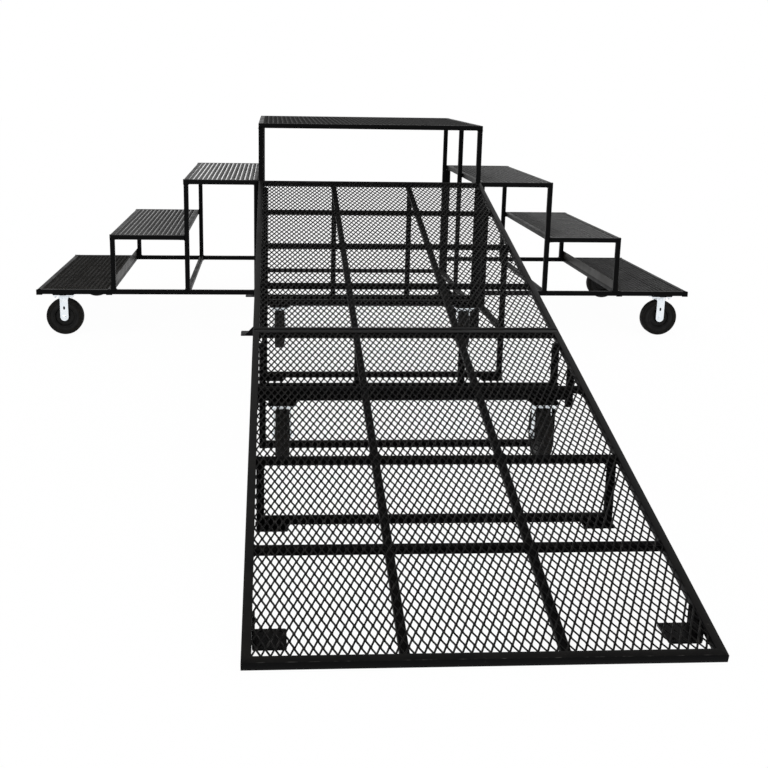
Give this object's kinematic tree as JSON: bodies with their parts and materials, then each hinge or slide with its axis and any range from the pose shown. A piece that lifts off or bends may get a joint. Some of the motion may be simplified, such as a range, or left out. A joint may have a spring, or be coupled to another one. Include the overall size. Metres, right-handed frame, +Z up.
{
  "type": "portable ramp",
  "caption": "Modular black steel stage ramp: mesh platform on legs, stepped tread wing at each side and a long sloping mesh ramp in sections, all on rigid casters.",
  "frame": {"origin": "on the floor, at the middle of the whole set's outline seen from above", "axes": "+X to the right wing, +Y from the ramp's toe towards the platform, +Z up"},
  "size_m": [3.6582, 4.7842, 1.1747],
  "materials": {
    "black_paint": "semi-gloss black paint, scuffed on the treads and feet",
    "mesh_paint": "satin black paint, worn grey where feet and wheels pass",
    "zinc_plate": "bright zinc plate with a faint blue cast",
    "rubber_tyre": "matt solid rubber, dusty on the tread"
  },
  "bodies": {
    "platform": {"platform_deck_frame": "black_paint", "platform_deck_mesh": "mesh_paint", "platform_left_leg_frame": "black_paint", "platform_right_leg_frame": "black_paint", "platform_middle_stretcher": "black_paint", "platform_back_stretcher": "black_paint"},
    "left_wing": {"left_wing_front_frame": "black_paint", "left_wing_back_frame": "black_paint", "left_wing_low_tread_frame": "black_paint", "left_wing_low_tread_mesh": "mesh_paint", "left_wing_mid_tread_frame": "black_paint", "left_wing_mid_tread_mesh": "mesh_paint", "left_wing_high_tread_frame": "black_paint", "left_wing_high_tread_mesh": "mesh_paint", "left_wing_base_tube": "black_paint", "left_front_fork": "zinc_plate", "left_front_axle_bolt": "zinc_plate", "left_back_fork": "zinc_plate", "left_back_axle_bolt": "zinc_plate"},
    "right_wing": {"right_wing_front_frame": "black_paint", "right_wing_back_frame": "black_paint", "right_wing_low_tread_frame": "black_paint", "right_wing_low_tread_mesh": "mesh_paint", "right_wing_mid_tread_frame": "black_paint", "right_wing_mid_tread_mesh": "mesh_paint", "right_wing_high_tread_frame": "black_paint", "right_wing_high_tread_mesh": "mesh_paint", "right_wing_base_tube": "black_paint", "right_front_fork": "zinc_plate", "right_front_axle_bolt": "zinc_plate", "right_back_fork": "zinc_plate", "right_back_axle_bolt": "zinc_plate"},
    "upper_ramp": {"upper_ramp_deck_frame": "black_paint", "upper_ramp_mesh": "mesh_paint", "upper_ramp_end_frame": "black_paint", "upper_ramp_caster_frame": "black_paint", "upper_ramp_leg_frame": "black_paint", "upper_left_fork": "zinc_plate", "upper_left_axle_bolt": "zinc_plate", "upper_right_fork": "zinc_plate", "upper_right_axle_bolt": "zinc_plate"},
    "lower_ramp": {"lower_ramp_deck_frame": "black_paint", "lower_ramp_mesh": "mesh_paint", "lower_ramp_end_frame": "black_paint", "lower_ramp_caster_frame": "black_paint", "lower_ramp_leg_frame": "black_paint", "lower_ramp_left_toe_foot": "black_paint", "lower_ramp_right_toe_foot": "black_paint", "lower_left_fork": "zinc_plate", "lower_left_axle_bolt": "zinc_plate", "lower_right_fork": "zinc_plate", "lower_right_axle_bolt": "zinc_plate"},
    "left_front_roller": {"left_front_wheel": "rubber_tyre"},
    "left_back_roller": {"left_back_wheel": "rubber_tyre"},
    "right_front_roller": {"right_front_wheel": "rubber_tyre"},
    "right_back_roller": {"right_back_wheel": "rubber_tyre"},
    "upper_left_roller": {"upper_left_wheel": "rubber_tyre"},
    "upper_right_roller": {"upper_right_wheel": "rubber_tyre"},
    "lower_left_roller": {"lower_left_wheel": "rubber_tyre"},
    "lower_right_roller": {"lower_right_wheel": "rubber_tyre"}
  },
  "joints": [
    {"name": "left_wing_roll_away", "type": "slide", "parent": "platform", "child": "left_wing", "axis": [-1, 0, 0], "range_m": [0, 0.5]},
    {"name": "right_wing_roll_away", "type": "slide", "parent": "platform", "child": "right_wing", "axis": [1, 0, 0], "range_m": [0, 0.5]},
    {"name": "upper_ramp_roll_away", "type": "slide", "parent": "platform", "child": "upper_ramp", "axis": [0, -1, 0], "range_m": [0, 0.5]},
    {"name": "lower_ramp_roll_away", "type": "slide", "parent": "upper_ramp", "child": "lower_ramp", "axis": [0, -1, 0], "range_m": [0, 0.5]},
    {"name": "left_front_wheel_spin", "type": "hinge", "parent": "left_wing", "child": "left_front_roller", "pos_m": [-1.6894, 1.23009, 0.1016], "axis": [0, 1, 0], "continuous": true},
    {"name": "left_back_wheel_spin", "type": "hinge", "parent": "left_wing", "child": "left_back_roller", "pos_m": [-1.6894, 2.33499, 0.1016], "axis": [0, 1, 0], "continuous": true},
    {"name": "right_front_wheel_spin", "type": "hinge", "parent": "right_wing", "child": "right_front_roller", "pos_m": [1.6894, 1.23009, 0.1016], "axis": [0, 1, 0], "continuous": true},
    {"name": "right_back_wheel_spin", "type": "hinge", "parent": "right_wing", "child": "right_back_roller", "pos_m": [1.6894, 2.33499, 0.1016], "axis": [0, 1, 0], "continuous": true},
    {"name": "upper_left_wheel_spin", "type": "hinge", "parent": "upper_ramp", "child": "upper_left_roller", "pos_m": [-0.4953, 0.91277, 0.1016], "axis": [1, 0, 0], "continuous": true},
    {"name": "upper_right_wheel_spin", "type": "hinge", "parent": "upper_ramp", "child": "upper_right_roller", "pos_m": [0.4953, 0.91277, 0.1016], "axis": [1, 0, 0], "continuous": true},
    {"name": "lower_left_wheel_spin", "type": "hinge", "parent": "lower_ramp", "child": "lower_left_roller", "pos_m": [-0.4953, -0.86683, 0.1016], "axis": [1, 0, 0], "continuous": true},
    {"name": "lower_right_wheel_spin", "type": "hinge", "parent": "lower_ramp", "child": "lower_right_roller", "pos_m": [0.4953, -0.86683, 0.1016], "axis": [1, 0, 0], "continuous": true}
  ]
}
